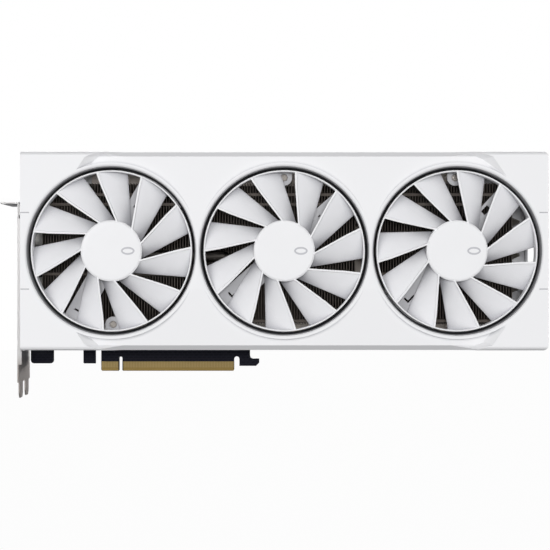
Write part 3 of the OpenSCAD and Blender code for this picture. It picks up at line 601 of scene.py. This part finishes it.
def make_rotor(side):
    """Hub, ring and blades as one moulding."""
    x, z = fan_axis(side)
    low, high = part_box("rotor_" + side)
    ring_r = (high.x - low.x + high.z - low.z) / 4
    front, back = low.y, high.y
    bm = bmesh.new()
    # hub cup with a rounded rim and a seat for its cap
    seat = front + CAP_SEAT_DEPTH
    inside = front + CUP_DEPTH
    hub = [(HUB_R, back)]
    hub += arc((HUB_R - HUB_RIM_R, front + HUB_RIM_R), HUB_RIM_R, 0, -90, 8)
    hub += [(CAP_SEAT_MOUTH_R, front + 0.02 * MM), (CAP_SEAT_R, seat), (0, seat)]
    hub += [(0, inside), (CUP_R, inside), (CUP_R, back)]
    add_turned(bm, hub, x, z)
    # outer ring with rounded edges
    mid_r = ring_r - RING_WALL / 2
    round_r = RING_WALL / 2 - 0.02 * MM
    inner, outer, rear = mid_r - round_r, mid_r + round_r, RING_BACK - RING_CHAMFER
    ring = arc((mid_r, RING_FRONT + round_r), round_r, 0, -180, 8)
    ring += [(inner, rear), (inner + RING_CHAMFER, RING_BACK)]
    ring += [(outer - RING_CHAMFER, RING_BACK), (outer, rear)]
    add_turned(bm, ring, x, z, 192)
    for face in bm.faces:
        face.material_index = HIGHLIGHT_SLOT
    for k in range(BLADES):
        phase = TIP_PHASE[side] - lead_angle(mid_r) + k * 360 / BLADES
        add_blade(bm, phase, x, z, HUB_R - ROOT_SINK, mid_r)
    replaced = ("rotor_" + side,)
    piece = make_piece(side + "_rotor_moulding", bm, "fan_plastic", "fan_" + side, replaced, sharp=28)
    # the hub, the ring and the blades' raised lips get a smoother, paler copy of the blades' plastic: a
    # painted highlight, with the blades darker as painted shade
    piece.data.materials.append(MATERIAL["hub_plastic"])


def make_hub_cap(side):
    """A disc with a rolled edge."""
    x, z = fan_axis(side)
    low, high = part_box("hub_cap_" + side)
    front = low.y
    edge = 17.87 * MM
    edge_round = 0.4 * MM
    profile = [(0, front), (14.5 * MM, front), (16.6 * MM, front + 0.04 * MM), (17.3 * MM, front + 0.1 * MM)]
    profile += arc((edge - edge_round, front + 0.53 * MM), edge_round, -80, 0, 5)
    profile += [(edge, high.y), (0, high.y)]
    bm = bmesh.new()
    add_turned(bm, profile, x, z)
    make_piece(side + "_hub_disc", bm, "hub_plastic", "fan_" + side, ("hub_cap_" + side,), sharp=50)


INLAY_SHIFT = 10.1 * MM
INLAY_REACH = 4.1 * MM
INLAY_HEIGHT = 2.4 * MM
INLAY_LINE = 1.1 * MM
INLAY_STEPS = 48


def make_hub_inlay(side):
    """A plain oval ring inlaid off the middle of the disc."""
    x, z = fan_axis(side)
    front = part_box("hub_cap_" + side)[0].y
    center = x + INLAY_SHIFT
    bm = bmesh.new()
    loops = []
    for inset in (0, INLAY_LINE):
        for y in (front - 0.03 * MM, front + 0.3 * MM):
            loop = []
            for k in range(INLAY_STEPS):
                angle = 2 * math.pi * k / INLAY_STEPS
                across = (INLAY_REACH - inset) * math.cos(angle)
                up = (INLAY_HEIGHT - inset) * math.sin(angle)
                loop.append(bm.verts.new((center + across, y, z + up)))
            loops.append(loop)
    outer_front, outer_back, inner_front, inner_back = loops
    around = [outer_front, outer_back, inner_back, inner_front, outer_front]
    for first, second in zip(around, around[1:]):
        for k in range(INLAY_STEPS):
            after = (k + 1) % INLAY_STEPS
            bm.faces.new((first[k], first[after], second[after], second[k]))
    make_piece(side + "_hub_inlay", bm, "hub_plastic", "fan_" + side, material=MATERIAL["mark_grey"])


for fan_side in SIDES:
    make_rotor(fan_side)
    make_hub_cap(fan_side)
    make_hub_inlay(fan_side)

# ---------- heatsink ----------

FIN_PITCH = 1.7 * MM
FIN_T = 0.32 * MM
FIN_MARGIN = 0.5 * MM
# heights of the rows of tabs in millimetres, and the room a tab needs above the fin's lower edge
TAB_ROWS = [33.0, 62.0, 105.0, 111.0]
TAB_ROOM = 1.2 * MM
TAB_HALF = 0.8 * MM
TAB_Y = (0.2 * MM, 0.55 * MM)
# the groove that the front heat pipe lies in
GROOVE_X = (11 * MM, 73 * MM)
GROOVE_Z = (69.2 * MM, 76.8 * MM)
GROOVE_DEPTH = 7.2 * MM
# the gap round the post of a fan's lower screw
POST_DROP = 45 * MM
POST_GAP = 3.4 * MM


def make_fins(side):
    """Thin sheets with folded tabs that lock each sheet to the next."""
    low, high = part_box("fin_stack_" + side)
    post_x, axis_z = fan_axis(side)
    post_z = axis_z - POST_DROP
    bm = bmesh.new()
    count = int(round((high.x - low.x - FIN_MARGIN) / FIN_PITCH))
    for k in range(count + 1):
        x = low.x + k * FIN_PITCH
        bottom = low.z
        across = abs(x + FIN_T / 2 - post_x)
        if across < POST_GAP:
            bottom = post_z + math.sqrt(POST_GAP ** 2 - across ** 2)
        if GROOVE_X[0] < x < GROOVE_X[1]:
            add_box(bm, (x, low.y, bottom), (x + FIN_T, high.y, GROOVE_Z[0]))
            add_box(bm, (x, low.y, GROOVE_Z[1]), (x + FIN_T, high.y, high.z))
            add_box(bm, (x, low.y + GROOVE_DEPTH, GROOVE_Z[0]), (x + FIN_T, high.y, GROOVE_Z[1]))
        else:
            add_box(bm, (x, low.y, bottom), (x + FIN_T, high.y, high.z))
        if k == count:
            continue
        # the sheet's rear flange, and its locking tabs at the front
        gap, following = x + FIN_T, x + FIN_PITCH
        flange = (following, high.y, high.z - FIN_MARGIN)
        add_box(bm, (gap, high.y - FIN_T, bottom + FIN_MARGIN), flange)
        for row in TAB_ROWS:
            z = row * MM
            if z - TAB_ROOM < bottom:
                continue
            tab = (following, low.y + TAB_Y[1], z + TAB_HALF)
            add_box(bm, (gap, low.y + TAB_Y[0], z - TAB_HALF), tab)
    make_piece(side + "_fin_sheets", bm, "fin_aluminium", "card", ("fin_stack_" + side,), sharp=30)


for fan_side in SIDES:
    make_fins(fan_side)

# ---------- screws ----------

# the screw blank's underside of head and end of shank, in head radii
HEAD_END = 0.46
SHANK_END = 1.0


def screw_mesh():
    """A pan-head cross-recess screw along +Y, its head's face at the origin, in head radii."""
    bm = bmesh.new()
    profile = [(0, 0), (0.55, 0.02), (0.82, 0.1), (0.96, 0.25), (1.0, 0.45)]
    profile += [(0.58, HEAD_END), (0.58, SHANK_END), (0, SHANK_END)]
    add_turned(bm, profile, 0, 0, 48)
    bmesh.ops.recalc_face_normals(bm, faces=bm.faces)
    mesh = bpy.data.meshes.new("screw_blank")
    bm.to_mesh(mesh)
    bm.free()
    cutter_bm = bmesh.new()
    add_box(cutter_bm, (-0.56, -0.2, -0.1), (0.56, 0.3, 0.1))
    cutter = bpy.data.meshes.new("screw_cutter")
    bmesh.ops.recalc_face_normals(cutter_bm, faces=cutter_bm.faces)
    cutter_bm.to_mesh(cutter)
    cutter_bm.free()
    blank = bpy.data.objects.new("screw_blank", mesh)
    scene.collection.objects.link(blank)
    cutters = []
    for turn in (45, 135):
        tool = bpy.data.objects.new("screw_cutter", cutter)
        tool.rotation_euler = (0, math.radians(turn), 0)
        scene.collection.objects.link(tool)
        cutters.append(tool)
        cut = blank.modifiers.new("cross", "BOOLEAN")
        cut.operation = "DIFFERENCE"
        cut.object = tool
    bpy.context.view_layer.update()
    evaluated = blank.evaluated_get(bpy.context.evaluated_depsgraph_get())
    made = bpy.data.meshes.new_from_object(evaluated)
    for item in cutters + [blank]:
        bpy.data.objects.remove(item)
    return made


SCREW = screw_mesh()


def screw_places(node):
    """Where a CAD node's screws stand: each loose part's middle, with its Y range."""
    mesh = NODES[node].data
    bm = bmesh.new()
    bm.from_mesh(mesh)
    bmesh.ops.remove_doubles(bm, verts=bm.verts, dist=1e-6)
    seen = set()
    places = []
    for start in bm.verts:
        if start.index in seen:
            continue
        stack, island = [start], []
        seen.add(start.index)
        while stack:
            vert = stack.pop()
            island.append(vert.co.copy())
            for edge in vert.link_edges:
                other = edge.other_vert(vert)
                if other.index not in seen:
                    seen.add(other.index)
                    stack.append(other)
        xs, ys, zs = zip(*island)
        places.append(((min(xs) + max(xs)) / 2, min(ys), max(ys), (min(zs) + max(zs)) / 2))
    bm.free()
    return sorted(places)


HEAD_R = 2.15 * MM


def make_screws(node, facing, head_h=1.0 * MM):
    """Screws in place of a CAD node's; facing is -1 where heads face the fans, 1 the rear."""
    bm = bmesh.new()
    for index, (x, front, back, z) in enumerate(screw_places(node)):
        copy = SCREW.copy()
        length = back - front
        turn = Matrix.Rotation(math.radians(37 * index), 4, "Y")
        if facing > 0:
            turn = Matrix.Rotation(math.pi, 4, "X") @ turn
        for vert in copy.vertices:
            x0, y0, z0 = vert.co
            if y0 > 0.9 * SHANK_END:
                y0 = length / HEAD_R
            else:
                y0 = y0 * head_h / (HEAD_END * HEAD_R)
            vert.co = turn @ Vector((x0 * HEAD_R, y0 * HEAD_R, z0 * HEAD_R))
        copy.transform(Matrix.Translation((x, front if facing < 0 else back, z)))
        bm.from_mesh(copy)
        bpy.data.meshes.remove(copy)
    make_piece(node + "_cross_head", bm, "screw_steel", "card", (node,), sharp=40)


make_screws("fan_screws", -1)
make_screws("bracket_screws", -1)
make_screws("backplate_screws", 1)
make_screws("board_screws", 1)
make_screws("spring_screws", 1, head_h=1.6 * MM)

# ---------- bracket fold and contacts ----------

FOLD_W = 1.6 * MM
FOLD_T = 1 * MM
FOLD_LOW = 8 * MM
FOLD_HIGH = 1.2 * MM


def make_bracket_fold():
    """The bracket's front fold goes on past a small notch, up to the screw tab."""
    low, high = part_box("bracket")
    fold_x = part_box("pcb")[0].x + 0.5 * MM
    bm = bmesh.new()
    corner = (fold_x, low.y + FOLD_T, high.z - FOLD_HIGH)
    add_box(bm, (fold_x - FOLD_W, low.y, high.z - FOLD_LOW), corner)
    make_piece("bracket_fold_top", bm, "nickel", "card")


make_bracket_fold()

BED_LIP = 0.35 * MM
BED_T = 0.03 * MM
KEY_HALF = 1.6 * MM


def make_contact_bed():
    """The pale strips that the gold fingers stand on, on both faces of both segments."""
    low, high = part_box("edge_contacts")
    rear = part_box("pcb")[1].y
    bm = bmesh.new()
    for start, stop in ((low.x, -KEY_HALF), (KEY_HALF, high.x)):
        for front, back in ((-rear - BED_T, -rear), (rear, rear + BED_T)):
            add_box(bm, (start, front, low.z - BED_LIP), (stop, back, high.z))
    make_piece("contact_bed_strips", bm, "contact_gold", "card", material=MATERIAL["contact_bed"])


make_contact_bed()

# ---------- CAD nodes that keep their shape ----------

# widths in millimetres of the rounding on CAD nodes' edges
BEVELS = {
    "shroud": 0.45, "shroud_sides": 0.3, "backplate": 0.3, "bracket": 0.2, "pcb": 0.08,
    "mid_frame": 0.2, "cold_plate": 0.3, "spring_plate": 0.2,
    "fan_frame_left": 0.3, "fan_frame_middle": 0.3, "fan_frame_right": 0.3,
    "trim_rings": 0.15, "power_connectors": 0.15, "hdmi_port": 0.15, "displayports": 0.15,
    "fan_header": 0.1, "chokes": 0.35, "memory_chips": 0.12, "capacitors": 0.3,
}


def dress_cad_nodes():
    """Each CAD node gets its slot's material, and those in BEVELS get rounded edges."""
    slots = {row["node"]: row["material_slot"] for row in frame["record"]["subparts"]}
    for name, node in NODES.items():
        mesh = node.data
        mesh.materials.clear()
        # the mid frame takes the paler nickel copy, as painted light
        mesh.materials.append(MATERIAL["inner_nickel_painted_light" if name == "mid_frame" else slots[name]])
        if name not in BEVELS:
            continue
        weld = node.modifiers.new("weld", "WELD")
        weld.merge_threshold = 1e-6
        flat = node.modifiers.new("flat", "DECIMATE")
        flat.decimate_type = "DISSOLVE"
        flat.angle_limit = math.radians(0.5)
        edge = node.modifiers.new("edge_round", "BEVEL")
        edge.width = BEVELS[name] * MM
        edge.segments = 2
        edge.limit_method = "ANGLE"
        edge.angle_limit = math.radians(35)
        edge.harden_normals = True


dress_cad_nodes()
